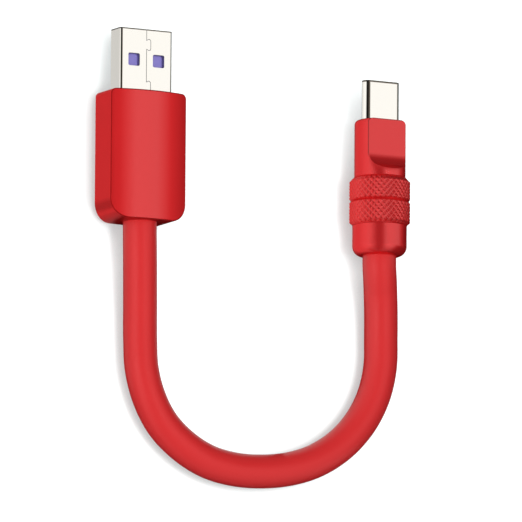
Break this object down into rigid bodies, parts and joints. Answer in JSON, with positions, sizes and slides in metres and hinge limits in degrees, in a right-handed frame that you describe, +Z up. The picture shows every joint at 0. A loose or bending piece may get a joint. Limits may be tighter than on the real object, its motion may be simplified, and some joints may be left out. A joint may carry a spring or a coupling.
{
  "type": "charging cable",
  "caption": "Short thick red charging cable bent in a U: a USB-A plug with a folded steel shell, and a USB-C plug with a knurled grip and milled flats.",
  "frame": {"origin": "middle of the two plugs' common bounding box, on the table they lie on", "axes": "+X from the USB-A plug to the USB-C plug, +Y the way both plugs point, +Z up from the table"},
  "size_m": [0.0696, 0.0917, 0.0125],
  "materials": {
    "shell_steel": "bright nickel plated",
    "red_metal": "satin red",
    "cord_rubber": "smooth satin",
    "violet_plastic": "moulded",
    "contact_gold": "gold plated",
    "white_mould": "moulded",
    "black_plastic": "moulded",
    "board_laminate": "solder mask",
    "spring_steel": "bright",
    "copper_alloy": "bright",
    "wire_red": "smooth",
    "wire_white": "smooth",
    "wire_green": "smooth",
    "wire_black": "smooth"
  },
  "bodies": {
    "root": {"usb_a_shell": "shell_steel", "usb_a_insulator": "violet_plastic", "usb_a_contact_power": "contact_gold", "usb_a_contact_data_minus": "contact_gold", "usb_a_contact_data_plus": "contact_gold", "usb_a_contact_ground": "contact_gold", "usb_a_inner_mould": "white_mould", "usb_a_housing": "red_metal", "cord_jacket": "cord_rubber", "power_wire": "wire_red", "data_minus_wire": "wire_white", "data_plus_wire": "wire_green", "ground_wire": "wire_black", "usb_c_shell": "shell_steel", "usb_c_insulator": "black_plastic", "usb_c_contacts_upper": "contact_gold", "usb_c_contacts_lower": "contact_gold", "usb_c_latch_plate": "copper_alloy", "usb_c_ground_spring_upper": "spring_steel", "usb_c_ground_spring_lower": "spring_steel", "usb_c_circuit_board": "board_laminate", "pull_up_resistor": "black_plastic", "usb_c_rear_cover": "spring_steel", "usb_c_head": "red_metal", "knurled_collar_front": "red_metal", "knurled_collar_rear": "red_metal", "tail_sleeve": "red_metal", "cord_crimp_ring": "copper_alloy"}
  },
  "joints": []
}
